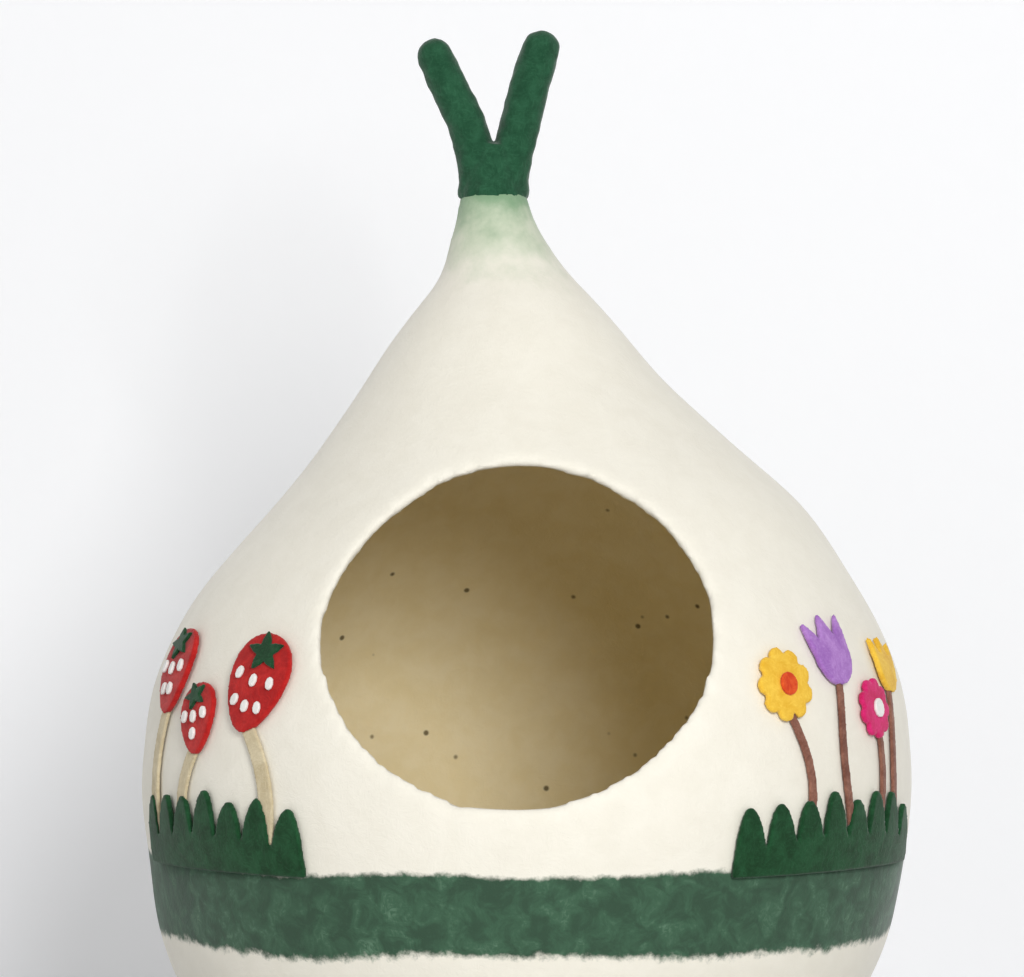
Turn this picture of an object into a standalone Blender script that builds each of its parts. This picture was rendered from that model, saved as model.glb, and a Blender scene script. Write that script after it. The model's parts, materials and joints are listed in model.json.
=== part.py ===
"""Felt cat cave: a hollow, one-piece bulb of thick felt with a round way in at the front,
a forked sprout on its neck, and cut felt berries and blossoms on either side of the way in.
Metres, +Z up, the front faces -Y, the origin is the middle of the flat base."""

import math

import bmesh
import bpy
from mathutils import Matrix, Vector
from mathutils.geometry import delaunay_2d_cdt, intersect_point_line

# The body's outside from the floor up, and how far its middle leans towards +X.
BODY_SECTIONS = (
    # height, radius, lean
    (0.000, 0.1220, 0.0000),
    (0.005, 0.1390, 0.0000),
    (0.020, 0.1640, -0.0010),
    (0.045, 0.1870, -0.0020),
    (0.076, 0.2040, -0.0026),
    (0.106, 0.2139, -0.0009),
    (0.140, 0.2189, 0.0000),
    (0.165, 0.2230, 0.0000),
    (0.190, 0.2240, 0.0000),
    (0.212, 0.2228, 0.0003),
    (0.234, 0.2199, 0.0006),
    (0.257, 0.2138, 0.0011),
    (0.280, 0.2029, 0.0015),
    (0.303, 0.1882, 0.0024),
    (0.327, 0.1698, 0.0047),
    (0.350, 0.1509, 0.0069),
    (0.373, 0.1282, 0.0028),
    (0.397, 0.1059, -0.0029),
    (0.420, 0.0860, -0.0070),
    (0.443, 0.0687, -0.0093),
    (0.466, 0.0506, -0.0099),
    (0.478, 0.0393, -0.0113),
    (0.490, 0.0326, -0.0145),
    (0.501, 0.0279, -0.0170),
    (0.513, 0.0221, -0.0182),
    (0.529, 0.0195, -0.0198),
)
BODY_SEGMENTS = 48
WALL = 0.009

# The way in is cut square to a line that leans back over the sloping front.
WAY_IN_FOOT = Vector((-0.0056, -0.2220, 0.186))
WAY_IN_HEAD = Vector((-0.0056, -0.1310, 0.372))
WAY_IN_HALF_WIDTH = 0.1067
WAY_IN_SEGMENTS = 44
CUT_INWARD = 0.05
CUT_OUTWARD = 0.10

# The sprout's two prongs, root to tip.
LEFT_PRONG = (
    # height, lean, depth, radius
    (0.5293, -0.0285, 0.0000, 0.0113),
    (0.5480, -0.0291, -0.0005, 0.0117),
    (0.5690, -0.0349, -0.0015, 0.0115),
    (0.5900, -0.0451, -0.0020, 0.0112),
    (0.6085, -0.0535, -0.0020, 0.0106),
)
RIGHT_PRONG = (
    (0.5293, -0.0112, 0.0000, 0.0113),
    (0.5480, -0.0090, 0.0005, 0.0119),
    (0.5690, -0.0040, 0.0015, 0.0120),
    (0.5900, 0.0010, 0.0025, 0.0119),
    (0.6130, 0.0080, 0.0030, 0.0112),
)
PRONG_SEGMENTS = 16
DOME_RINGS = 4
ROOT_RADIUS = 0.0192
ROOT_TOP_RADIUS = 0.0125
ROOT_HEIGHT = 0.028

# Cut felt that lies on the body.
GAP = 0.0003
BACK_CLEARANCE = 0.0004
FELT = 0.003
STEM_FELT = 0.0014
TRIM_FELT = 0.0016
GRID = 0.009
EDGE_MARGIN = 0.003
PANEL_RADIUS = 0.2240
LEFT_PANEL = math.radians(-53.0)
RIGHT_PANEL = math.radians(52.0)
STEM_OVERLAP = 0.007

# Rows of leaves along the top of the band, one on each side.
LEAF_ROWS = (
    # name, panel, half width, foot height, leaf count, leaf lean
    ("leaves_left", LEFT_PANEL, 0.078, 0.1455, 7, 0.10),
    ("leaves_right", RIGHT_PANEL, 0.086, 0.1455, 8, -0.08),
)
LEAF_BACKING = 0.017
LEAF_LENGTH = 0.025
LEAF_POINTS = 7
END_DROP = 0.011

# Berries hang point down, each on a pale stem that rises from the leaves.
BERRIES = (
    # across, height of the middle, half width, half height, tilt, stem foot, stem bow, seeds
    (0.036, 0.2490, 0.0225, 0.0270, -12.0, 0.050, 0.010, 6),
    (-0.012, 0.2285, 0.0165, 0.0200, 10.0, -0.020, -0.008, 4),
    (-0.054, 0.2530, 0.0190, 0.0235, 4.0, -0.060, -0.006, 5),
)
PALE_STEM_WIDTH = 0.0085
BERRY_POINTS = 28
SEED_LONG = 0.0034
SEED_SHORT = 0.0025

# Blossoms on thin brown stems. A daisy is round with many petals, a tulip is a cup with three tips.
BLOSSOMS = (
    # kind, colour, across, height of the middle, size, tilt, stem foot, stem bow
    ("daisy", "yellow", -0.046, 0.2490, 0.0200, 0.0, -0.036, 0.010),
    ("tulip", "violet", 0.002, 0.2660, 0.0185, 6.0, 0.010, -0.008),
    ("daisy", "magenta", 0.036, 0.2335, 0.0170, 15.0, 0.033, 0.005),
    ("tulip", "yellow", 0.066, 0.2560, 0.0150, -8.0, 0.062, -0.006),
)
BROWN_STEM_WIDTH = 0.0045
DAISY_PETALS = 9
PETAL_POINTS = 5
CENTRE_SHARE = 0.30

COLOURS = {
    # linear colour, roughness
    "cream": ((0.86, 0.82, 0.70), 0.95),
    "sprout_green": ((0.022, 0.100, 0.047), 0.95),
    "leaf_green": ((0.012, 0.070, 0.022), 0.95),
    "red": ((0.46, 0.014, 0.012), 0.95),
    "pale": ((0.60, 0.50, 0.32), 0.95),
    "brown": ((0.25, 0.10, 0.07), 0.95),
    "white": ((0.86, 0.85, 0.82), 0.95),
    "violet": ((0.40, 0.19, 0.55), 0.95),
    "yellow": ((0.85, 0.52, 0.05), 0.95),
    "magenta": ((0.67, 0.017, 0.15), 0.95),
    "orange": ((0.70, 0.07, 0.015), 0.95),
}


def clear_scene():
    for thing in list(bpy.data.objects):
        bpy.data.objects.remove(thing, do_unlink=True)


def material_for(colour):
    name = "felt_" + colour
    material = bpy.data.materials.get(name)
    if material:
        return material
    material = bpy.data.materials.new(name)
    material.use_nodes = True
    shader = material.node_tree.nodes["Principled BSDF"]
    base, roughness = COLOURS[colour]
    shader.inputs["Base Color"].default_value = (*base, 1.0)
    shader.inputs["Roughness"].default_value = roughness
    shader.inputs["Metallic"].default_value = 0.0
    material.diffuse_color = (*base, 1.0)
    return material


def add_object(name, mesh, colour=None):
    """Puts a bmesh into the scene. One without a colour is a cutter, which is not part of the cave."""
    bmesh.ops.recalc_face_normals(mesh, faces=mesh.faces)
    data = bpy.data.meshes.new(name)
    mesh.to_mesh(data)
    mesh.free()
    data.shade_smooth()
    data.set_sharp_from_angle(angle=math.radians(35))
    thing = bpy.data.objects.new(name, data)
    bpy.context.scene.collection.objects.link(thing)
    if colour:
        data.materials.append(material_for(colour))
    else:
        thing.hide_render = True
        thing.display_type = "WIRE"
    return thing


def combine(thing, other, operation):
    change = thing.modifiers.new(other.name, "BOOLEAN")
    change.operation = operation
    change.solver = "EXACT"
    change.object = other


def stack_rings(mesh, rings):
    """Skins closed rings of corners and caps both ends."""
    for low, high in zip(rings, rings[1:]):
        for index, corner in enumerate(low):
            after = (index + 1) % len(low)
            mesh.faces.new((corner, low[after], high[after], high[index]))
    mesh.faces.new(tuple(reversed(rings[0])))
    mesh.faces.new(tuple(rings[-1]))


def hermite(before, start, end, after, share, column):
    """A smooth curve through table rows, whose first column is the height."""
    span = end[0] - start[0]
    start_slope = (end[column] - before[column]) / (end[0] - before[0])
    end_slope = (after[column] - start[column]) / (after[0] - start[0])
    squared, cubed = share**2, share**3
    return (
        (2 * cubed - 3 * squared + 1) * start[column]
        + (cubed - 2 * squared + share) * span * start_slope
        + (3 * squared - 2 * cubed) * end[column]
        + (cubed - squared) * span * end_slope
    )


def body_at(height):
    """The radius and lean of the body's outside at a height."""
    rows = BODY_SECTIONS
    index = max(i for i in range(len(rows) - 1) if rows[i][0] <= height)
    start, end = rows[index], rows[index + 1]
    before = rows[max(index - 1, 0)]
    after = rows[min(index + 2, len(rows) - 1)]
    share = (height - start[0]) / (end[0] - start[0])
    radius, lean = (hermite(before, start, end, after, share, column) for column in (1, 2))
    return radius, lean


def on_body(panel, across, height, lift):
    """A point at a distance across a panel and a height, lifted square off the body's outside."""
    step = 0.001
    radius, lean = body_at(height)
    slope = (body_at(height + step)[0] - body_at(height - step)[0]) / (2 * step)
    out = lift / math.hypot(1.0, slope)
    angle = panel + across / PANEL_RADIUS
    reach = radius + out
    return Vector((lean + reach * math.sin(angle), -reach * math.cos(angle), height - slope * out))


def make_body():
    mesh = bmesh.new()
    rings = []
    for height, radius, lean in BODY_SECTIONS:
        ring = []
        for index in range(BODY_SEGMENTS):
            angle = math.tau * index / BODY_SEGMENTS
            ring.append(mesh.verts.new((lean + radius * math.sin(angle), -radius * math.cos(angle), height)))
        rings.append(ring)
    stack_rings(mesh, rings)
    body = add_object("felt_body", mesh, "cream")
    hollow = body.modifiers.new("hollow", "SOLIDIFY")
    hollow.thickness = WALL
    hollow.offset = -1.0
    hollow.use_even_offset = True
    combine(body, make_way_in_cutter(), "DIFFERENCE")


def make_way_in_cutter():
    """The way in is a slightly uneven oval, a little flatter at its upper left and lower right."""
    rise = WAY_IN_HEAD - WAY_IN_FOOT
    half_height = rise.length / 2
    up = rise.normalized()
    outward = Vector((1.0, 0.0, 0.0)).cross(up)
    middle = (WAY_IN_HEAD + WAY_IN_FOOT) / 2
    mesh = bmesh.new()
    rings = []
    for reach in (-CUT_INWARD, CUT_OUTWARD):
        ring = []
        for index in range(WAY_IN_SEGMENTS):
            angle = math.tau * index / WAY_IN_SEGMENTS
            uneven = 1.0 - 0.006 * (1.0 - math.cos(4 * angle)) + 0.008 * math.sin(2 * angle)
            side = Vector((uneven * WAY_IN_HALF_WIDTH * math.cos(angle), 0.0, 0.0))
            ring.append(mesh.verts.new(middle + side + up * uneven * half_height * math.sin(angle) + outward * reach))
        rings.append(ring)
    stack_rings(mesh, rings)
    return add_object("way_in_cutter", mesh)


def make_prong(name, rows, colour=None):
    """A round prong that leaves the neck upright and ends in a dome."""
    middles = [Vector((lean, depth, height)) for height, lean, depth, radius in rows]
    radii = [row[3] for row in rows]
    ahead = [(late - early).normalized() for early, late in zip(middles, middles[1:])]
    along = [Vector((0.0, 0.0, 1.0))]
    along += [(first + second).normalized() for first, second in zip(ahead, ahead[1:])]
    along.append(ahead[-1])
    for ring in range(1, DOME_RINGS):
        angle = math.pi / 2 * ring / DOME_RINGS
        middles.append(middles[len(rows) - 1] + along[-1] * rows[-1][3] * math.sin(angle))
        radii.append(rows[-1][3] * math.cos(angle))
        along.append(along[-1])
    mesh = bmesh.new()
    rings = []
    for middle, radius, direction in zip(middles, radii, along):
        side = direction.cross(Vector((0.0, 1.0, 0.0))).normalized() * -1.0
        back = direction.cross(side).normalized()
        ring = []
        for index in range(PRONG_SEGMENTS):
            angle = math.tau * index / PRONG_SEGMENTS
            offset = side * math.cos(angle) + back * math.sin(angle)
            ring.append(mesh.verts.new(middle + offset * radius))
        rings.append(ring)
    stack_rings(mesh, rings)
    return add_object(name, mesh, colour)


def make_sprout():
    """Two prongs that share one root, felted together."""
    sprout = make_prong("sprout", LEFT_PRONG, "sprout_green")
    combine(sprout, make_prong("right_prong_shape", RIGHT_PRONG), "UNION")
    root = bmesh.new()
    foot = LEFT_PRONG[0][0]
    lean = BODY_SECTIONS[-1][2]
    place = Matrix.Translation((lean, 0.0, foot + ROOT_HEIGHT / 2))
    bmesh.ops.create_cone(
        root,
        cap_ends=True,
        segments=PRONG_SEGMENTS,
        radius1=ROOT_RADIUS,
        radius2=ROOT_TOP_RADIUS,
        depth=ROOT_HEIGHT,
        matrix=place,
    )
    combine(sprout, add_object("root_shape", root), "UNION")


def clear_of_edge(outline, point):
    for index, corner in enumerate(outline):
        nearest, share = intersect_point_line(point, outline[index - 1], corner)
        nearest = nearest if 0.0 < share < 1.0 else corner
        if (point - nearest).length < EDGE_MARGIN:
            return False
    return True


def lay_felt(name, panel, outline, colour, back=BACK_CLEARANCE, thickness=FELT):
    """Cuts a flat outline of (across, height) corners from felt and lays it on the body's outside."""
    outline = [Vector(corner) for corner in outline]
    lows = [min(corner[axis] for corner in outline) for axis in (0, 1)]
    highs = [max(corner[axis] for corner in outline) for axis in (0, 1)]
    counts = [int((high - low) / GRID) for low, high in zip(lows, highs)]
    inner = []
    for column in range(1, counts[0] + 1):
        for row in range(1, counts[1] + 1):
            point = Vector(
                (
                    lows[0] + (highs[0] - lows[0]) * column / (counts[0] + 1),
                    lows[1] + (highs[1] - lows[1]) * row / (counts[1] + 1),
                )
            )
            if clear_of_edge(outline, point):
                inner.append(point)
    filled = delaunay_2d_cdt(outline + inner, [], [list(range(len(outline)))], 1, 1e-7)
    mesh = bmesh.new()
    corners = [mesh.verts.new((point[0], point[1], 0.0)) for point in filled[0]]
    faces = [mesh.faces.new([corners[index] for index in face]) for face in filled[2]]
    bmesh.ops.delete(mesh, geom=[corner for corner in mesh.verts if not corner.link_faces], context="VERTS")
    raised = bmesh.ops.extrude_face_region(mesh, geom=faces, use_keep_orig=True)
    for item in raised["geom"]:
        if isinstance(item, bmesh.types.BMVert):
            item.co.z = thickness
    for corner in mesh.verts:
        corner.co = on_body(panel, corner.co.x, corner.co.y, back + corner.co.z)
    return add_object(name, mesh, colour)


def turned(outline, middle, tilt):
    """Tilts an outline drawn around zero and moves it to its middle."""
    turn = Matrix.Rotation(math.radians(tilt), 2)
    return [turn @ Vector(corner) + Vector(middle) for corner in outline]


def stem_path(foot, head, bow, points=9):
    """A stem from foot to head that bows sideways."""
    foot, head = Vector(foot), Vector(head)
    rise = head - foot
    aside = Vector((rise.y, -rise.x)).normalized()
    path = []
    for index in range(points):
        share = index / (points - 1)
        path.append(foot + rise * share + aside * bow * math.sin(math.pi * share))
    return path


def ribbon(path, width, foot_width):
    """The outline of a strip along a path, which widens towards its foot."""
    left, right = [], []
    last = len(path) - 1
    for index, point in enumerate(path):
        along = (path[min(index + 1, last)] - path[max(index - 1, 0)]).normalized()
        aside = Vector((-along.y, along.x))
        half = (foot_width + (width - foot_width) * index / last) / 2
        left.append(point + aside * half)
        right.append(point - aside * half)
    return right + left[::-1]


def lay_stem(name, panel, foot, head, bow, width, colour, covers):
    """Lays a stem whose ends run under the pieces that cover it, each hollowed to take it."""
    path = stem_path(foot, head, bow)
    lay_felt(name, panel, ribbon(path, width, 1.2 * width), colour, thickness=STEM_FELT)
    bite = 2 * GAP
    ends = (path[-1] - path[-2]).normalized() * bite, (path[0] - path[1]).normalized() * bite
    longer = [path[0] + ends[1], *path[1:-1], path[-1] + ends[0]]
    room = ribbon(longer, width + 2 * bite, 1.2 * width + 2 * bite)
    below = BACK_CLEARANCE - 0.001
    deep = STEM_FELT + 0.001 + bite
    cutter = lay_felt(name + "_room", panel, room, None, back=below, thickness=deep)
    for cover in covers:
        combine(cover, cutter, "DIFFERENCE")


def leaf_row_outline(half_width, foot, count, lean):
    """A strip whose top edge is a row of pointed leaves, lower towards both ends."""
    outline = []
    base_points = 2 * count
    for index in range(base_points + 1):
        outline.append(((2 * index / base_points - 1) * half_width, foot))
    width = 2 * half_width / count
    top = []
    for leaf in range(count):
        for point in range(LEAF_POINTS):
            share = point / LEAF_POINTS
            across = -half_width + (leaf + share) * width
            lobe = math.sin(math.pi * share) ** 0.75
            tall = LEAF_LENGTH * (1.0 + 0.12 * math.sin(2.4 * leaf + 1.0))
            middle_share = abs(across) / half_width
            drop = END_DROP * middle_share**4
            top.append((across + lean * lobe * tall, foot + LEAF_BACKING + lobe * tall - drop))
    top.append((half_width, foot + LEAF_BACKING - END_DROP))
    return outline + top[::-1]


def berry_outline(half_width, half_height):
    """Broad at the top with a rounded point below."""
    outline = []
    for index in range(BERRY_POINTS):
        angle = math.tau * index / BERRY_POINTS
        taper = 1.0 + 0.30 * math.cos(angle)
        outline.append((-half_width * math.sin(angle) * taper, half_height * math.cos(angle)))
    return outline


def calyx_outline(size, tips=5, points=4):
    """A crown of pointed sepals that droop from the berry's top."""
    outline = []
    for index in range(tips * points):
        share = index / (tips * points)
        reach = 0.42 + 0.58 * (1.0 - abs(2 * (share * tips % 1.0) - 1.0)) ** 1.4
        angle = math.tau * share
        outline.append((size * reach * math.cos(angle), 0.72 * size * reach * math.sin(angle)))
    return outline


def oval(half_width, half_height, points=8):
    angles = [math.tau * index / points for index in range(points)]
    return [(half_width * math.cos(angle), half_height * math.sin(angle)) for angle in angles]


def daisy_outline(size):
    outline = []
    for index in range(DAISY_PETALS * PETAL_POINTS):
        share = index / (DAISY_PETALS * PETAL_POINTS)
        reach = 0.80 + 0.20 * abs(math.sin(math.pi * DAISY_PETALS * share)) ** 0.6
        outline.append((size * reach * math.cos(math.tau * share), size * reach * math.sin(math.tau * share)))
    return outline


def tulip_outline(size, cup_points=12):
    """A half-round cup under three pointed tips."""
    outline = []
    for index in range(cup_points + 1):
        angle = math.pi + math.pi * index / cup_points
        outline.append((0.92 * size * math.cos(angle), size * math.sin(angle)))
    tips = ((1.00, 0.42), (1.02, 0.95), (0.72, 0.66), (0.42, 0.36), (0.20, 0.72), (0.0, 1.08))
    outline += [(across * size, rise * size) for across, rise in tips]
    outline += [(-across * size, rise * size) for across, rise in tips[-2::-1]]
    return outline


def lay_berries(leaves):
    """Berries with sepals and white seeds, the seeds in rows that narrow towards the point."""
    face = BACK_CLEARANCE + FELT + GAP
    seed = 0
    for number, row in enumerate(BERRIES, start=1):
        across, height, half_width, half_height, tilt, foot, bow, seeds = row
        middle = (across, height)
        shape = turned(berry_outline(half_width, half_height), middle, tilt)
        berry = lay_felt(f"berry_{number}", LEFT_PANEL, shape, "red")
        crown = turned([(0.0, 0.62 * half_height)], middle, tilt)[0]
        sepals = turned(calyx_outline(0.66 * half_width), crown, tilt)
        lay_felt(f"sepals_{number}", LEFT_PANEL, sepals, "leaf_green", back=face, thickness=TRIM_FELT)
        for index in range(seeds):
            line, place = divmod(index, 3)
            in_line = min(3, seeds - 3 * line)
            spread = (0.95, 0.62)[line] * half_width
            aside = (place - (in_line - 1) / 2) * spread * (0.62, 0.70)[line]
            fall = half_height * ((0.10, -0.42)[line] - 0.05 * (place == 1 and in_line == 3))
            spot = turned([(aside, fall)], middle, tilt)[0]
            seed += 1
            grain = turned(oval(SEED_SHORT, SEED_LONG), spot, tilt + 14.0 * (place - 1))
            lay_felt(f"seed_{seed:02d}", LEFT_PANEL, grain, "white", back=face, thickness=TRIM_FELT)
        foot_place = (foot, LEAF_ROWS[0][3] + LEAF_BACKING - STEM_OVERLAP)
        under = turned([(0.0, -half_height + STEM_OVERLAP)], middle, tilt)[0]
        lay_stem(f"pale_stem_{number}", LEFT_PANEL, foot_place, under, bow, PALE_STEM_WIDTH, "pale", (leaves, berry))


def lay_blossoms(leaves):
    """Daisies with a round centre, and tulips, each on a thin stem."""
    face = BACK_CLEARANCE + FELT + GAP
    for number, row in enumerate(BLOSSOMS, start=1):
        kind, colour, across, height, size, tilt, foot, bow = row
        middle = (across, height)
        shape = daisy_outline(size) if kind == "daisy" else tulip_outline(size)
        blossom = lay_felt(f"{kind}_{number}", RIGHT_PANEL, turned(shape, middle, tilt), colour)
        if kind == "daisy":
            disc = turned(oval(CENTRE_SHARE * size, CENTRE_SHARE * size, 12), middle, tilt)
            tint = "orange" if colour == "yellow" else "white"
            lay_felt(f"daisy_centre_{number}", RIGHT_PANEL, disc, tint, back=face, thickness=TRIM_FELT)
        foot_place = (foot, LEAF_ROWS[1][3] + LEAF_BACKING - STEM_OVERLAP)
        under = turned([(0.0, -size + STEM_OVERLAP)], middle, tilt)[0]
        covers = (leaves, blossom)
        lay_stem(f"brown_stem_{number}", RIGHT_PANEL, foot_place, under, bow, BROWN_STEM_WIDTH, "brown", covers)


def main():
    clear_scene()
    make_body()
    make_sprout()
    rows = []
    for name, panel, half_width, foot, count, lean in LEAF_ROWS:
        rows.append(lay_felt(name, panel, leaf_row_outline(half_width, foot, count, lean), "leaf_green"))
    lay_berries(rows[0])
    lay_blossoms(rows[1])


main()
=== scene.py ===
import json
import math

import bpy
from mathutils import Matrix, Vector, noise

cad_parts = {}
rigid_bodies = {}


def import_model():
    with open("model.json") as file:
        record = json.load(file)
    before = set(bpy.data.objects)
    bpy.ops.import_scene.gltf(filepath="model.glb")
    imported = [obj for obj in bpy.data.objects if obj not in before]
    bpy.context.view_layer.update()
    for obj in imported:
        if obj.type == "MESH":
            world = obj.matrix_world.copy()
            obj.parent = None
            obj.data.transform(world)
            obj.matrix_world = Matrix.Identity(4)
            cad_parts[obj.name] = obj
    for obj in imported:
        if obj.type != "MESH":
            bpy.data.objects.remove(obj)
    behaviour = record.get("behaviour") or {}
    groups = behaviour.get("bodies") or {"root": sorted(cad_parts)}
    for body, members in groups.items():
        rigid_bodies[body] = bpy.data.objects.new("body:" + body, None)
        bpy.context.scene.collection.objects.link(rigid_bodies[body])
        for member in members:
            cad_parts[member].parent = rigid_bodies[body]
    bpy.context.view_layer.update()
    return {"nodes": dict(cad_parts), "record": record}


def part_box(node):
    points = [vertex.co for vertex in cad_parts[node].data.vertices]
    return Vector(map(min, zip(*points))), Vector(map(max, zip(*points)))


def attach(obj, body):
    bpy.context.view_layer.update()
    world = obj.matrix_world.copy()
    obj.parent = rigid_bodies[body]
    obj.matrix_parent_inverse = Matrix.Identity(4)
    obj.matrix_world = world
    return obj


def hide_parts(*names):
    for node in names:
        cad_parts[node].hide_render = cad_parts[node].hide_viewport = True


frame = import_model()


def selectOnly(*things):
    if bpy.context.object and bpy.context.object.mode != "OBJECT":
        bpy.ops.object.mode_set(mode="OBJECT")
    bpy.ops.object.select_all(action="DESELECT")
    for thing in things:
        thing.select_set(True)
    bpy.context.view_layer.objects.active = things[0]


def pickCorners(thing, test):
    # leaves edit mode, picks corners by place, and comes back
    bpy.ops.object.mode_set(mode="EDIT")
    bpy.ops.mesh.select_mode(type="VERT")
    bpy.ops.mesh.select_all(action="DESELECT")
    bpy.ops.object.mode_set(mode="OBJECT")
    for corner in thing.data.vertices:
        corner.select = test(corner.co)
    bpy.ops.object.mode_set(mode="EDIT")


def addModifier(thing, kind, **settings):
    modifier = thing.modifiers.new(kind.lower(), kind)
    for key, value in settings.items():
        setattr(modifier, key, value)
    selectOnly(thing)
    bpy.ops.object.modifier_apply(modifier=modifier.name)


def settlePlace(thing):
    selectOnly(thing)
    bpy.ops.object.transform_apply(location=True, rotation=True, scale=True)


def moveCorners(thing, move):
    # sculpts one by one: every corner goes where move puts it
    for corner in thing.data.vertices:
        corner.co = move(corner.co)
    thing.data.update()


def wear(thing, material):
    thing.data.materials.clear()
    thing.data.materials.append(material)
    selectOnly(thing)
    bpy.ops.object.shade_smooth()


bodySections = [
    # height, radius, lean to the right
    (0.000, 0.1220, 0.0000),
    (0.005, 0.1390, 0.0000),
    (0.020, 0.1640, -0.0010),
    (0.045, 0.1870, -0.0020),
    (0.076, 0.2040, -0.0026),
    (0.106, 0.2139, -0.0009),
    (0.140, 0.2189, 0.0000),
    (0.165, 0.2230, 0.0000),
    (0.190, 0.2240, 0.0000),
    (0.212, 0.2228, 0.0003),
    (0.234, 0.2199, 0.0006),
    (0.257, 0.2138, 0.0011),
    (0.280, 0.2029, 0.0015),
    (0.303, 0.1882, 0.0024),
    (0.327, 0.1698, 0.0047),
    (0.350, 0.1509, 0.0069),
    (0.373, 0.1282, 0.0028),
    (0.397, 0.1059, -0.0029),
    (0.420, 0.0860, -0.0070),
    (0.443, 0.0687, -0.0093),
    (0.466, 0.0506, -0.0099),
    (0.478, 0.0393, -0.0113),
    (0.490, 0.0326, -0.0145),
    (0.501, 0.0279, -0.0170),
    (0.513, 0.0221, -0.0182),
    (0.529, 0.0195, -0.0198),
]


def bodyAt(height):
    # radius, lean and slope of the outside at a height
    rows = bodySections
    spot = 0
    while spot < len(rows) - 2 and rows[spot + 1][0] <= height:
        spot += 1
    low, high = rows[spot], rows[spot + 1]
    share = min(max((height - low[0]) / (high[0] - low[0]), 0.0), 1.0)
    radius = low[1] + (high[1] - low[1]) * share
    lean = low[2] + (high[2] - low[2]) * share
    return radius, lean, (high[1] - low[1]) / (high[0] - low[0])


unevenness = {
    "slowWave": 0.0016,  # hand-felted wool is never quite round
    "slowSize": 7.0,
    "slowStart": (3.1, 7.7, 1.3),
    "dimples": 0.0006,
    "dimpleSize": 26.0,
    "dimpleStart": (9.2, 0.4, 5.6),
    "flatFoot": 0.012,  # below this the base stays flat
    "neckHeight": 0.56,
    "fadeRun": 0.05,
    "leastFade": 0.2,
    "leastRadius": 0.02,
}


def unevenPlace(place):
    # the same gentle swelling for the shell and all that lies on it, so nothing floats
    if place.z < unevenness["flatFoot"]:
        return place.copy()
    radius, lean, slope = bodyAt(place.z)
    outward = Vector((place.x - lean, place.y, -slope * max(radius, unevenness["leastRadius"])))
    if outward.length < 1e-6:
        return place.copy()
    outward.normalize()
    slow = noise.noise(place * unevenness["slowSize"] + Vector(unevenness["slowStart"]))
    quick = noise.noise(place * unevenness["dimpleSize"] + Vector(unevenness["dimpleStart"]))
    footFade = min((place.z - unevenness["flatFoot"]) / unevenness["fadeRun"], 1.0)
    neckFade = (unevenness["neckHeight"] - place.z) / unevenness["fadeRun"]
    fade = footFade * min(max(neckFade, unevenness["leastFade"]), 1.0)
    swell = unevenness["slowWave"] * slow + unevenness["dimples"] * quick
    return place + outward * swell * fade


def newGroup(name, inputs, outputs):
    group = bpy.data.node_groups.new(name, "ShaderNodeTree")
    for label, kind, value in inputs:
        socket = group.interface.new_socket(label, in_out="INPUT", socket_type=kind)
        if value is not None:
            socket.default_value = value
    for label, kind in outputs:
        group.interface.new_socket(label, in_out="OUTPUT", socket_type=kind)
    entry = group.nodes.new("NodeGroupInput")
    leave = group.nodes.new("NodeGroupOutput")
    return group, entry, leave


def node(tree, kind, links=None, **settings):
    # adds a node, sets it up, and links or fills its inputs
    made = tree.nodes.new(kind)
    for key, value in settings.items():
        setattr(made, key, value)
    for key, value in (links or {}).items():
        if isinstance(value, bpy.types.NodeSocket):
            tree.links.new(value, made.inputs[key])
        else:
            made.inputs[key].default_value = value
    return made


def maths(tree, operation, first, second):
    return node(tree, "ShaderNodeMath", {0: first, 1: second}, operation=operation).outputs[0]


def vectorMaths(tree, operation, links):
    return node(tree, "ShaderNodeVectorMath", links, operation=operation).outputs[0]


def noiseOver(tree, place, size, detail, roughness=0.5, distortion=0.0):
    links = {"Vector": place, "Scale": size, "Detail": detail}
    links["Roughness"] = roughness
    links["Distortion"] = distortion
    return node(tree, "ShaderNodeTexNoise", links)


def blend(tree, share, first, second):
    mixed = node(tree, "ShaderNodeMix", {0: share, 6: first, 7: second}, data_type="RGBA")
    return mixed.outputs[2]


def span(tree, value, low, high, toLow=0.0, toHigh=1.0):
    links = {"Value": value, "From Min": low, "From Max": high, "To Min": toLow, "To Max": toHigh}
    return node(tree, "ShaderNodeMapRange", links, interpolation_type="SMOOTHSTEP").outputs[0]


grainLook = {
    "swirlSize": 70.0,
    "swirl": 0.012,  # how far the fibres are bent aside, in metres
    "fibreSize": 620.0,
    "strands": [
        # turn, stretch along one way
        ((0.3, 0.2, 0.5), (1.0, 1.0, 0.16)),
        ((0.9, 0.4, 1.4), (0.16, 1.0, 1.0)),
        ((1.7, 2.2, 0.2), (1.0, 0.16, 1.0)),
    ],
    "fibreShare": 0.55,
    "cloudSize": 55.0,
    "pebbleSize": 210.0,
    "pebbleShare": 0.45,
}


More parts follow.
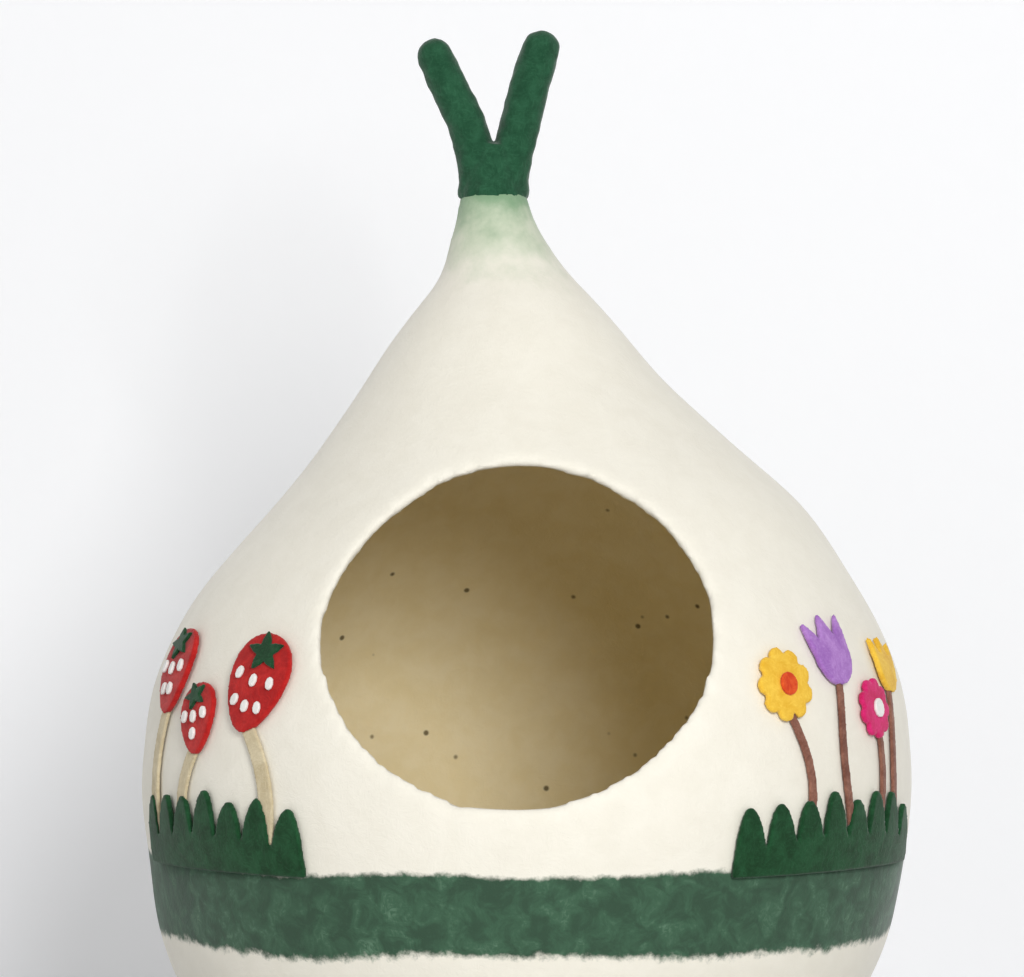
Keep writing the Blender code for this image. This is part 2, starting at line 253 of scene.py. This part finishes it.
def buildFeltGrain():
    # matted wool: fibres running every way, soft clouds of thicker and thinner wool
    look = grainLook
    group, entry, leave = newGroup(
        "feltGrain",
        [
            ("Place", "NodeSocketVector", None),
            ("Fibre Size", "NodeSocketFloat", 1.0),
            ("Cloud Size", "NodeSocketFloat", 1.0),
        ],
        [("Height", "NodeSocketFloat"), ("Cloud", "NodeSocketFloat"), ("Fibre", "NodeSocketFloat")],
    )
    place = entry.outputs["Place"]
    swirl = noiseOver(group, place, look["swirlSize"], 1.0).outputs["Color"]
    centred = vectorMaths(group, "SUBTRACT", {0: swirl, 1: (0.5, 0.5, 0.5)})
    nudged = vectorMaths(group, "SCALE", {0: centred, 3: look["swirl"]})
    warped = vectorMaths(group, "ADD", {0: place, 1: nudged})
    sized = vectorMaths(group, "SCALE", {0: warped, 3: entry.outputs["Fibre Size"]})
    layers = []
    for turn, stretch in look["strands"]:
        links = {"Vector": sized, "Rotation": turn, "Scale": stretch}
        mapped = node(group, "ShaderNodeMapping", links).outputs[0]
        layers.append(noiseOver(group, mapped, look["fibreSize"], 2.0, 0.6).outputs["Fac"])
    fibre = maths(group, "MAXIMUM", maths(group, "MAXIMUM", layers[0], layers[1]), layers[2])
    clouded = vectorMaths(group, "SCALE", {0: place, 3: entry.outputs["Cloud Size"]})
    cloud = noiseOver(group, clouded, look["cloudSize"], 5.0, 0.58, 0.4).outputs["Fac"]
    pebble = noiseOver(group, sized, look["pebbleSize"], 3.0, 0.55).outputs["Fac"]
    fibreRise = maths(group, "MULTIPLY", fibre, look["fibreShare"])
    pebbleRise = maths(group, "MULTIPLY", pebble, look["pebbleShare"])
    group.links.new(maths(group, "ADD", fibreRise, pebbleRise), leave.inputs["Height"])
    group.links.new(cloud, leave.inputs["Cloud"])
    group.links.new(fibre, leave.inputs["Fibre"])
    return group


edgeLook = {"wanderSize": 9.0, "tuftSize": 130.0}


def buildFeltedEdge():
    # where one colour of wool was laid over another: a wandering edge with loose fibres across it
    group, entry, leave = newGroup(
        "feltedEdge",
        [
            ("Value", "NodeSocketFloat", 0.0),
            ("Place", "NodeSocketVector", None),
            ("Edge", "NodeSocketFloat", 0.0),
            ("Wander", "NodeSocketFloat", 0.004),
            ("Wisps", "NodeSocketFloat", 0.003),
            ("Softness", "NodeSocketFloat", 0.002),
        ],
        [("Mask", "NodeSocketFloat")],
    )
    place = entry.outputs["Place"]
    slow = noiseOver(group, place, edgeLook["wanderSize"], 2.0).outputs["Fac"]
    tuft = noiseOver(group, place, edgeLook["tuftSize"], 4.0, 0.7).outputs["Fac"]
    wander = maths(group, "MULTIPLY", maths(group, "SUBTRACT", slow, 0.5), entry.outputs["Wander"])
    wisps = maths(group, "MULTIPLY", maths(group, "SUBTRACT", tuft, 0.5), entry.outputs["Wisps"])
    moved = maths(group, "ADD", maths(group, "ADD", entry.outputs["Value"], wander), wisps)
    past = maths(group, "SUBTRACT", moved, entry.outputs["Edge"])
    low = maths(group, "MULTIPLY", entry.outputs["Softness"], -1.0)
    group.links.new(span(group, past, low, entry.outputs["Softness"]), leave.inputs["Mask"])
    return group


feltGrain = buildFeltGrain()
feltedEdge = buildFeltedEdge()


def useGroup(tree, group, links):
    made = node(tree, "ShaderNodeGroup", node_tree=group)
    for key, value in links.items():
        if isinstance(value, bpy.types.NodeSocket):
            tree.links.new(value, made.inputs[key])
        else:
            made.inputs[key].default_value = value
    return made


def newFelt(name, sheen=0.35):
    # an empty felt material with its shader's plain settings
    material = bpy.data.materials.new(name)
    material.use_nodes = True
    tree = material.node_tree
    shader = tree.nodes["Principled BSDF"]
    shader.inputs["Specular IOR Level"].default_value = 0.18
    shader.inputs["Sheen Weight"].default_value = sheen
    shader.inputs["Sheen Roughness"].default_value = 0.45
    place = node(tree, "ShaderNodeTexCoord").outputs["Object"]
    return material, tree, shader, place


def finishFelt(tree, shader, colour, height, depth):
    tree.links.new(colour, shader.inputs["Base Color"])
    bump = node(tree, "ShaderNodeBump", {"Height": height, "Distance": depth, "Strength": 0.7})
    tree.links.new(bump.outputs[0], shader.inputs["Normal"])


def plainFelt(name, dark, light, depth=0.0007, cloudSize=1.6, sheen=0.22):
    # dyed felt, slightly heathered between a dark and a light shade
    material, tree, shader, place = newFelt(name, sheen)
    grain = useGroup(tree, feltGrain, {"Place": place, "Fibre Size": 1.0, "Cloud Size": cloudSize})
    cloudy = span(tree, grain.outputs["Cloud"], 0.34, 0.66)
    stringy = span(tree, grain.outputs["Fibre"], 0.50, 0.74)
    share = maths(tree, "ADD", maths(tree, "MULTIPLY", cloudy, 0.6), maths(tree, "MULTIPLY", stringy, 0.4))
    colour = blend(tree, share, (*dark, 1.0), (*light, 1.0))
    roughness = span(tree, grain.outputs["Fibre"], 0.4, 0.8, 0.98, 0.86)
    tree.links.new(roughness, shader.inputs["Roughness"])
    finishFelt(tree, shader, colour, grain.outputs["Height"], depth)
    return material


bodyLook = {
    "cream": (0.880, 0.845, 0.740),
    "creamShade": (0.845, 0.808, 0.700),
    # the inside's colour, darker and warmer than the cream: painted shade and painted warm bounced light of
    # the cave
    "lining": (0.850, 0.725, 0.440),
    "insideWoolPaintedShadePale": (0.900, 0.790, 0.530),
    "nep": (0.070, 0.050, 0.018),  # dark knots of wool inside
    "bandDark": (0.013, 0.058, 0.029),
    "bandMid": (0.026, 0.096, 0.049),
    "bandPale": (0.100, 0.210, 0.130),
    "bandFoot": 0.1030,
    "bandTop": 0.1482,
    "bandFootEdge": (0.018, 0.011, 0.0026),  # wander, wisps, softness
    "bandTopEdge": (0.014, 0.007, 0.0018),
    "bandCover": 0.97,
    "blotchSize": 75.0,
    "paleCover": 0.8,
    "neckGreen": (0.230, 0.370, 0.220),
    "neckPale": (0.510, 0.595, 0.430),
    "neckStart": 0.470,
    "neckDeep": 0.512,
    "neckFull": (0.500, 0.532),
    "neckPatchSize": 60.0,
    "neckPatchReach": 0.045,
    "neckCover": 0.85,
    "cloudRange": (0.25, 0.75),
    "nepCells": 55.0,
    "nepShare": 0.50,
    "nepEdge": (0.05, 0.13),
    "nepCover": 0.85,
    "fringe": 0.004,  # how far the edge of the painted inside shade wanders where it meets the cream at the way in
    # depths where the painted inside shade begins and where it is full
    "liningStart": (0.0058, 0.0078),
    "bumpDepth": 0.0008,
}


def edgeMask(tree, value, place, edge, feel):
    wander, wisps, softness = feel
    links = {"Value": value, "Place": place, "Edge": edge}
    links["Wander"] = wander
    links["Wisps"] = wisps
    links["Softness"] = softness
    return useGroup(tree, feltedEdge, links).outputs["Mask"]


def shifted(tree, value, pattern, reach):
    # moves a value up or down by a pattern, at most half of reach each way
    return maths(tree, "ADD", value, maths(tree, "MULTIPLY", maths(tree, "SUBTRACT", pattern, 0.5), reach))


def buildBodyMaterial():
    look = bodyLook
    material, tree, shader, place = newFelt("creamWool", 0.22)
    grain = useGroup(tree, feltGrain, {"Place": place, "Fibre Size": 0.8, "Cloud Size": 1.0})
    depth = node(tree, "ShaderNodeAttribute", attribute_name="depth").outputs["Fac"]
    height = node(tree, "ShaderNodeSeparateXYZ", {0: place}).outputs["Z"]
    cloudy = span(tree, grain.outputs["Cloud"], *look["cloudRange"])
    cream = blend(tree, cloudy, (*look["creamShade"], 1.0), (*look["cream"], 1.0))

    # the band, mottled where cream wool shows through
    above = edgeMask(tree, height, place, look["bandFoot"], look["bandFootEdge"])
    below = edgeMask(tree, height, place, look["bandTop"], look["bandTopEdge"])
    onBand = maths(tree, "MULTIPLY", above, maths(tree, "SUBTRACT", 1.0, below))
    blotch = noiseOver(tree, place, look["blotchSize"], 4.0, 0.62, 0.6).outputs["Fac"]
    mottled = span(tree, blotch, 0.36, 0.60)
    band = blend(tree, mottled, (*look["bandDark"], 1.0), (*look["bandMid"], 1.0))
    thin = span(tree, blotch, 0.50, 0.74)
    strands = span(tree, grain.outputs["Fibre"], 0.48, 0.70)
    paleWool = maths(tree, "MULTIPLY", maths(tree, "MULTIPLY", thin, strands), look["paleCover"])
    band = blend(tree, paleWool, band, (*look["bandPale"], 1.0))
    outside = blend(tree, maths(tree, "MULTIPLY", onBand, look["bandCover"]), cream, band)

    # the neck, where green wool thins out downwards
    patch = noiseOver(tree, place, look["neckPatchSize"], 4.0, 0.6).outputs["Fac"]
    wandering = shifted(tree, height, patch, look["neckPatchReach"])
    pale = span(tree, wandering, look["neckStart"], look["neckDeep"])
    deep = span(tree, wandering, *look["neckFull"])
    tint = maths(tree, "MULTIPLY", pale, look["neckCover"])
    outside = blend(tree, tint, outside, (*look["neckPale"], 1.0))
    outside = blend(tree, deep, outside, (*look["neckGreen"], 1.0))

    # the inside: cream wool with painted shade and painted warm bounced light in its colour, and dark neps
    # here and there
    lining = blend(tree, cloudy, (*look["lining"], 1.0), (*look["insideWoolPaintedShadePale"], 1.0))
    cell = node(tree, "ShaderNodeTexVoronoi", {"Vector": place, "Scale": look["nepCells"], "Randomness": 1.0})
    pick = node(tree, "ShaderNodeSeparateXYZ", {0: cell.outputs["Color"]}).outputs["X"]
    chosen = maths(tree, "GREATER_THAN", pick, look["nepShare"])
    spot = span(tree, cell.outputs["Distance"], *look["nepEdge"], 1.0, 0.0)
    nep = maths(tree, "MULTIPLY", maths(tree, "MULTIPLY", spot, chosen), look["nepCover"])
    lining = blend(tree, nep, lining, (*look["nep"], 1.0))
    # the painted inside shade takes over from the cream a few millimetres under the outside
    fringe = shifted(tree, depth, grain.outputs["Cloud"], look["fringe"])
    colour = blend(tree, span(tree, fringe, *look["liningStart"]), outside, lining)

    roughness = span(tree, grain.outputs["Fibre"], 0.4, 0.8, 0.98, 0.88)
    tree.links.new(roughness, shader.inputs["Roughness"])
    finishFelt(tree, shader, colour, grain.outputs["Height"], look["bumpDepth"])
    return material


body = {
    "segments": 64,
    "wall": 0.009,
    "baseInset": 0.014,
    "neckRun": 0.006,  # the neck goes on a little way inside the sprout
    "neckTaper": 0.9,
    "topInset": 0.004,
    "voxel": 0.0044,
    "smoothing": 10,
    "wayInFoot": (-0.0056, -0.2220, 0.186),
    "wayInHead": (-0.0056, -0.1310, 0.372),
    "wayInHalfWidth": 0.1067,
    "cutterDepth": 0.15,
    "cutterLift": 0.025,
    "flatCorners": 0.006,
    "roundCorners": 0.008,
}


def buildBody():
    first = bodySections[0]
    bpy.ops.object.select_all(action="DESELECT")
    bpy.ops.mesh.primitive_circle_add(vertices=body["segments"], radius=first[1], location=(0, 0, 0))
    shell = bpy.context.object
    shell.name = "feltCave"
    bpy.ops.object.mode_set(mode="EDIT")
    bpy.ops.mesh.select_all(action="SELECT")
    for low, high in zip(bodySections, bodySections[1:]):  # drawn up ring by ring
        step = (high[2] - low[2], 0.0, high[0] - low[0])
        bpy.ops.mesh.extrude_edges_move(TRANSFORM_OT_translate={"value": step})
        grow = high[1] / low[1]
        bpy.ops.transform.resize(value=(grow, grow, 1.0), center_override=(high[2], 0.0, high[0]))
    top = bodySections[-1]
    bpy.ops.mesh.extrude_edges_move(TRANSFORM_OT_translate={"value": (0, 0, body["neckRun"])})
    taper = (body["neckTaper"], body["neckTaper"], 1.0)
    bpy.ops.transform.resize(value=taper, center_override=(top[2], 0.0, top[0]))
    bpy.ops.mesh.edge_face_add()
    bpy.ops.mesh.inset(thickness=body["topInset"])
    pickCorners(shell, lambda co: co.z < 0.001)
    bpy.ops.mesh.edge_face_add()
    bpy.ops.mesh.inset(thickness=body["baseInset"])
    bpy.ops.mesh.select_all(action="SELECT")
    bpy.ops.mesh.normals_make_consistent(inside=False)
    bpy.ops.object.mode_set(mode="OBJECT")
    addModifier(shell, "SUBSURF", levels=2, render_levels=2)
    addModifier(shell, "SOLIDIFY", thickness=body["wall"], offset=-1.0)
    cutter = buildWayInCutter()
    addModifier(shell, "BOOLEAN", operation="DIFFERENCE", solver="EXACT", object=cutter)
    bpy.data.objects.remove(cutter, do_unlink=True)
    addModifier(shell, "REMESH", mode="VOXEL", voxel_size=body["voxel"], use_smooth_shade=True)
    addModifier(shell, "SMOOTH", factor=0.5, iterations=body["smoothing"])
    markDepth(shell)
    moveCorners(shell, unevenPlace)
    moveCorners(shell, lambda co: Vector((co.x, co.y, max(co.z, 0.0))))
    wear(shell, buildBodyMaterial())
    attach(shell, "root")
    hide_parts("felt_body")
    print("body: shell felted, opened and smoothed")
    return shell


def buildWayInCutter():
    foot, head = Vector(body["wayInFoot"]), Vector(body["wayInHead"])
    rise = head - foot
    tilt = math.atan2(rise.y, rise.z)
    middle = (foot + head) / 2
    bpy.ops.object.select_all(action="DESELECT")
    bpy.ops.mesh.primitive_cylinder_add(vertices=96, radius=1.0, depth=body["cutterDepth"])
    cutter = bpy.context.object
    bpy.ops.object.mode_set(mode="EDIT")
    bpy.ops.mesh.select_all(action="SELECT")
    halves = (body["wayInHalfWidth"], rise.length / 2, 1.0)
    bpy.ops.transform.resize(value=halves, center_override=(0, 0, 0))
    bpy.ops.object.mode_set(mode="OBJECT")

    def uneven(co):  # a little flatter at two corners
        angle = math.atan2(co.y, co.x)
        flatter = body["flatCorners"] * (1.0 - math.cos(4 * angle))
        rounder = body["roundCorners"] * math.sin(2 * angle)
        swell = 1.0 - flatter + rounder
        return Vector((co.x * swell, co.y * swell, co.z))

    moveCorners(cutter, uneven)
    # the cylinder's own Z goes along the way in, and its Y up the sloping front
    cutter.rotation_euler = (math.pi / 2 - tilt, 0.0, 0.0)
    outward = Vector((0.0, -math.cos(tilt), math.sin(tilt)))
    cutter.location = middle + outward * body["cutterLift"]
    settlePlace(cutter)
    return cutter


def markDepth(shell):
    # how far each corner is under the outside, in metres, for where the painted inside shade goes
    depth = shell.data.attributes.new("depth", "FLOAT", "POINT")
    for spot, corner in enumerate(shell.data.vertices):
        radius, lean, slope = bodyAt(corner.co.z)
        across = math.hypot(corner.co.x - lean, corner.co.y)
        under = (radius - across) / math.hypot(1.0, slope)
        depth.data[spot].value = max(min(under, corner.co.z), 0.0)


sprout = {
    "voxel": 0.0013,
    "smoothing": 9,
    "sleeve": 0.0045,  # how far the foot comes down over the neck
    "sleeveRun": 0.006,
    "sleeveFlare": 1.05,
    "sleeveWave": 0.002,
    "waveSize": 90.0,
    "lumps": 0.0006,
    "lumpSize": 160.0,
    "dark": (0.011, 0.062, 0.028),
    "light": (0.025, 0.110, 0.053),
}


def copyFelt(nodeName, pieceName, voxel, smoothing):
    # a finer, softer version of a CAD solid
    source = frame["nodes"][nodeName]
    piece = source.copy()
    piece.data = source.data.copy()
    piece.name = pieceName
    bpy.context.scene.collection.objects.link(piece)
    piece.hide_render = False
    selectOnly(piece)
    bpy.ops.object.mode_set(mode="EDIT")
    bpy.ops.mesh.select_all(action="SELECT")
    bpy.ops.mesh.remove_doubles(threshold=0.00001)
    bpy.ops.object.mode_set(mode="OBJECT")
    addModifier(piece, "REMESH", mode="VOXEL", voxel_size=voxel, use_smooth_shade=True)
    addModifier(piece, "SMOOTH", factor=0.5, iterations=smoothing)
    return piece


def buildSprout():
    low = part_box("sprout")[0]
    piece = copyFelt("sprout", "forkedSprout", sprout["voxel"], sprout["smoothing"])

    lean = bodySections[-1][2]

    def drawn(co):  # its foot is drawn down over the neck, with a bumpy lower edge
        near = max(1.0 - (co.z - low.z) / sprout["sleeveRun"], 0.0)
        spot = Vector((co.x * sprout["waveSize"], co.y * sprout["waveSize"], 4.0))
        wave = sprout["sleeveWave"] * noise.noise(spot)
        grow = 1.0 + (sprout["sleeveFlare"] - 1.0) * min(near * 2, 1.0)
        ways = [noise.noise(co * sprout["lumpSize"] + Vector((k * 5.0, 0, 0))) for k in range(3)]
        moved = Vector((lean + (co.x - lean) * grow, co.y * grow, co.z))
        moved.z -= near * (sprout["sleeve"] + wave)
        return moved + Vector(ways) * sprout["lumps"]

    moveCorners(piece, drawn)
    wear(piece, plainFelt("sproutWool", sprout["dark"], sprout["light"], 0.0009, 2.2, 0.25))
    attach(piece, "root")
    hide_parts("sprout")
    print("sprout: drawn over the neck")


cutFelt = {
    # kind: voxel, smoothing rounds, swell
    "wide": (0.0009, 5, 0.0002),
    "stem": (0.0006, 3, 0.0004),
    "small": (0.00045, 4, 0.0002),
}
felts = {
    "leaf_felt": plainFelt("leafWool", (0.006, 0.040, 0.012), (0.016, 0.088, 0.032)),
    "red_felt": plainFelt("redWool", (0.36, 0.008, 0.008), (0.58, 0.022, 0.018)),
    "pale_felt": plainFelt("paleWool", (0.53, 0.44, 0.27), (0.70, 0.61, 0.42)),
    "brown_felt": plainFelt("brownWool", (0.16, 0.060, 0.040), (0.34, 0.16, 0.11)),
    "white_felt": plainFelt("whiteWool", (0.78, 0.76, 0.72), (0.92, 0.91, 0.88)),
    "violet_felt": plainFelt("violetWool", (0.32, 0.13, 0.46), (0.50, 0.27, 0.64)),
    "yellow_felt": plainFelt("yellowWool", (0.78, 0.44, 0.030), (0.93, 0.62, 0.080)),
    "magenta_felt": plainFelt("magentaWool", (0.56, 0.010, 0.10), (0.76, 0.030, 0.21)),
    "orange_felt": plainFelt("orangeWool", (0.60, 0.045, 0.010), (0.80, 0.12, 0.022)),
}


cutSizes = {
    # piece: width and height as cut, before it was laid on the round body
    "leaves_left": (0.156, 0.045),
    "leaves_right": (0.172, 0.045),
    "berry_1": (0.045, 0.054),
    "berry_2": (0.033, 0.040),
    "berry_3": (0.038, 0.047),
    "daisy_1": (0.040, 0.040),
    "tulip_2": (0.038, 0.038),
    "daisy_3": (0.034, 0.034),
    "tulip_4": (0.031, 0.031),
}


def layCutFelt(nodeName, kind, slotName):
    voxel, rounds, swell = cutFelt[kind]
    piece = copyFelt(nodeName, nodeName + "Felt", voxel, rounds)
    addModifier(piece, "DISPLACE", strength=swell, mid_level=0.0)
    moveCorners(piece, unevenPlace)
    wear(piece, felts[slotName])
    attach(piece, "root")
    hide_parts(nodeName)


def buildCutFelt():
    slots = {part["node"]: part["material_slot"] for part in frame["record"]["subparts"]}
    for name in sorted(slots):
        if name in ("felt_body", "sprout"):
            continue
        if name in cutSizes:
            kind = "wide"
        elif "stem" in name:
            kind = "stem"
        else:
            kind = "small"
        layCutFelt(name, kind, slots[name])
    print("cut felt: leaves, berries, blossoms and stems laid")


studio = {
    "size": 14.0,
    "floorHeight": -0.0005,
    "wallDistance": 0.58,
    "wallColour": (0.93, 0.935, 0.95),
    "wallGlow": 0.115,
    "floorColour": (0.67, 0.67, 0.68),
    "keyPlace": (0.62, -2.6, 1.05),
    "keySize": 0.9,
    "keyPower": 44.5,
    "fillPlace": (-1.8, -1.8, 1.1),
    "fillSize": 2.2,
    "fillPower": 8.0,
    "aim": (0.0, 0.0, 0.30),
    "worldStrength": 0.385,
}


def buildStudio():
    bpy.ops.object.select_all(action="DESELECT")
    bpy.ops.mesh.primitive_plane_add(size=studio["size"], location=(0, 0, studio["floorHeight"]))
    floor = bpy.context.object
    floor.name = "studioFloor"
    wallPlace = (0, studio["wallDistance"], 5.0)
    bpy.ops.mesh.primitive_plane_add(size=studio["size"], location=wallPlace, rotation=(math.pi / 2, 0, 0))
    wall = bpy.context.object
    wall.name = "studioWall"
    settlePlace(wall)
    for thing in (floor, wall):
        material = bpy.data.materials.new(thing.name + "Paint")
        material.use_nodes = True
        tree = material.node_tree
        shader = tree.nodes["Principled BSDF"]
        colour = studio["wallColour"] if thing is wall else studio["floorColour"]
        shader.inputs["Base Color"].default_value = (*colour, 1.0)
        shader.inputs["Roughness"].default_value = 0.9
        shader.inputs["Emission Color"].default_value = (1.0, 1.0, 1.0, 1.0)
        shader.inputs["Emission Strength"].default_value = studio["wallGlow"] if thing is wall else 0.0
        if thing is wall:  # seen through from behind, so the back view stays open
            behind = node(tree, "ShaderNodeNewGeometry").outputs["Backfacing"]
            clear = node(tree, "ShaderNodeBsdfTransparent").outputs[0]
            shown = node(tree, "ShaderNodeMixShader", {0: behind, 1: shader.outputs[0], 2: clear})
            tree.links.new(shown.outputs[0], tree.nodes["Material Output"].inputs["Surface"])
        thing.data.materials.append(material)


def addSoftLight(name, place, size, power, aim):
    bpy.ops.object.light_add(type="AREA", location=place)
    light = bpy.context.object
    light.name = name
    light.data.shape = "DISK"
    light.data.size = size
    light.data.energy = power
    light.rotation_euler = (Vector(aim) - Vector(place)).to_track_quat("-Z", "Y").to_euler()


def buildLight():
    aim = studio["aim"]
    addSoftLight("keyLight", studio["keyPlace"], studio["keySize"], studio["keyPower"], aim)
    addSoftLight("fillLight", studio["fillPlace"], studio["fillSize"], studio["fillPower"], aim)
    world = bpy.data.worlds.new("softRoom")
    world.use_nodes = True
    world.node_tree.nodes["Background"].inputs["Color"].default_value = (1.0, 1.0, 1.0, 1.0)
    world.node_tree.nodes["Background"].inputs["Strength"].default_value = studio["worldStrength"]
    bpy.context.scene.world = world
    bpy.context.scene.view_settings.view_transform = "Standard"


camera = {"place": (-0.0087, -2.9, 0.357), "lens": 175.2, "sensor": 36.0}


def buildCamera():
    bpy.ops.object.camera_add(location=camera["place"], rotation=(math.pi / 2, 0, 0))
    view = bpy.context.object
    view.data.lens = camera["lens"]
    view.data.sensor_width = camera["sensor"]
    bpy.context.scene.camera = view


buildCamera()
buildStudio()
buildLight()
buildBody()
buildSprout()
buildCutFelt()
